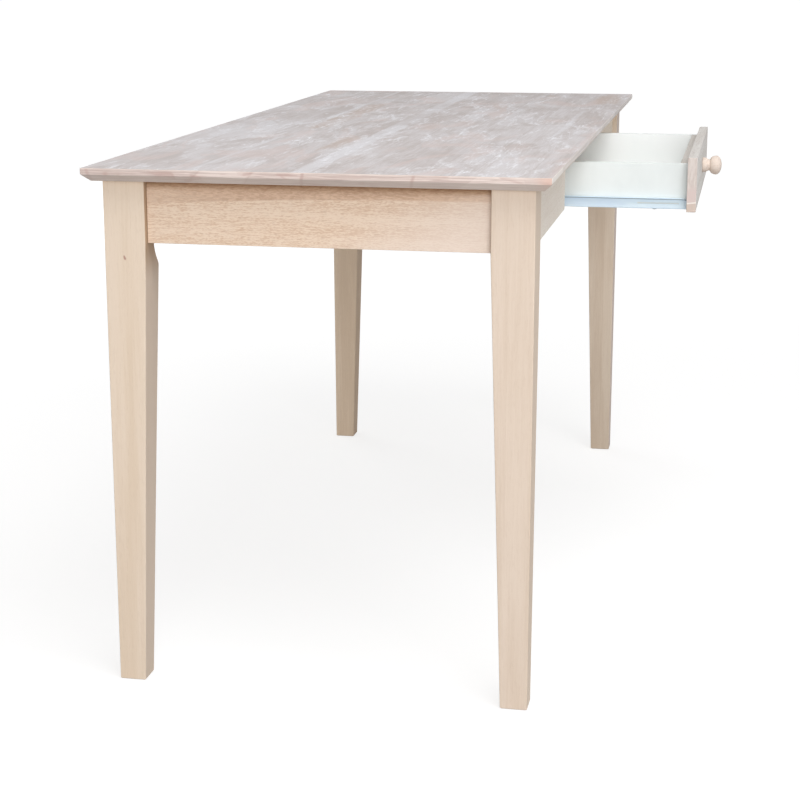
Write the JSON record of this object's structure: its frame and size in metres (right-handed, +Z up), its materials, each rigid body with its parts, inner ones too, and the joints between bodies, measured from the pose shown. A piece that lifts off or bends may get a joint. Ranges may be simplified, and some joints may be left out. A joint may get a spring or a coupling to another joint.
{
  "type": "writing desk",
  "caption": "Plain writing desk with an under-bevelled plank top, tapered square legs, set-back aprons and a shallow drawer with a turned knob on roller slides.",
  "frame": {"origin": "on the floor, under the middle of the whole box with the drawer at its rest opening", "axes": "+X along the desk's length, -Y out of the drawer side, +Z up"},
  "size_m": [1.524, 0.8604, 0.762],
  "materials": {
    "top_wood": "sanded, unfinished",
    "leg_wood": "sanded, unfinished",
    "apron_wood": "sanded, unfinished",
    "hidden_wood": "sawn",
    "drawer_front_wood": "sanded, unfinished",
    "drawer_white": "white coating",
    "knob_wood": "turned, unfinished",
    "slide_white": "white epoxy coating",
    "nylon": "moulded",
    "zinc": "zinc plated"
  },
  "bodies": {
    "desk": {"tabletop": "top_wood", "leg_front_left": "leg_wood", "leg_front_right": "leg_wood", "leg_back_left": "leg_wood", "leg_back_right": "leg_wood", "apron_back": "apron_wood", "apron_front_left": "apron_wood", "apron_front_right": "apron_wood", "apron_left": "apron_wood", "apron_right": "apron_wood", "corner_block_front_left": "hidden_wood", "corner_block_front_right": "hidden_wood", "corner_block_back_left": "hidden_wood", "corner_block_back_right": "hidden_wood", "drawer_rail_left": "hidden_wood", "drawer_rail_right": "hidden_wood", "glue_block_front_left": "hidden_wood", "glue_block_front_right": "hidden_wood", "glue_block_back_left": "hidden_wood", "glue_block_back_right": "hidden_wood", "slide_channel_left": "slide_white", "slide_channel_right": "slide_white", "hanger_bolt_front_left": "zinc", "hanger_bolt_front_right": "zinc", "hanger_bolt_back_left": "zinc", "hanger_bolt_back_right": "zinc", "hanger_nut_front_left": "zinc", "hanger_nut_front_right": "zinc", "hanger_nut_back_left": "zinc", "hanger_nut_back_right": "zinc", "top_screw_front_left": "zinc", "top_screw_front_right": "zinc", "top_screw_back_left": "zinc", "top_screw_back_right": "zinc", "channel_screw_front_left": "zinc", "channel_screw_front_right": "zinc", "channel_screw_back_left": "zinc", "channel_screw_back_right": "zinc", "roller_pin_front_left": "zinc", "roller_pin_front_right": "zinc"},
    "drawer": {"drawer_front": "drawer_front_wood", "drawer_box_front": "drawer_front_wood", "drawer_side_left": "drawer_white", "drawer_side_right": "drawer_white", "drawer_back": "drawer_white", "drawer_bottom": "drawer_white", "knob": "knob_wood", "knob_screw": "zinc", "front_screw_left": "zinc", "front_screw_right": "zinc", "slide_runner_left": "slide_white", "slide_runner_right": "slide_white", "runner_screw_left": "zinc", "runner_screw_right": "zinc", "roller_pin_back_left": "zinc", "roller_pin_back_right": "zinc"},
    "front_left_roller": {"roller_front_left": "nylon"},
    "front_right_roller": {"roller_front_right": "nylon"},
    "back_left_roller": {"roller_back_left": "nylon"},
    "back_right_roller": {"roller_back_right": "nylon"}
  },
  "joints": [
    {"name": "drawer_slide", "type": "slide", "parent": "desk", "child": "drawer", "axis": [0, -1, 0], "range_m": [-0.205, 0.097]},
    {"name": "front_left_roller_spin", "type": "hinge", "parent": "desk", "child": "front_left_roller", "pos_m": [-0.2561, -0.15985, 0.665], "axis": [1, 0, 0], "continuous": true},
    {"name": "front_right_roller_spin", "type": "hinge", "parent": "desk", "child": "front_right_roller", "pos_m": [0.2561, -0.15985, 0.665], "axis": [1, 0, 0], "continuous": true},
    {"name": "back_left_roller_spin", "type": "hinge", "parent": "drawer", "child": "back_left_roller", "pos_m": [-0.2551, 0.01145, 0.665], "axis": [1, 0, 0], "continuous": true},
    {"name": "back_right_roller_spin", "type": "hinge", "parent": "drawer", "child": "back_right_roller", "pos_m": [0.2551, 0.01145, 0.665], "axis": [1, 0, 0], "continuous": true}
  ],
  "couplings": [
    {"joint": "front_left_roller_spin", "follows": "drawer_slide", "rad_per_m": 125},
    {"joint": "front_right_roller_spin", "follows": "drawer_slide", "rad_per_m": 125},
    {"joint": "back_left_roller_spin", "follows": "drawer_slide", "rad_per_m": 125},
    {"joint": "back_right_roller_spin", "follows": "drawer_slide", "rad_per_m": 125}
  ]
}
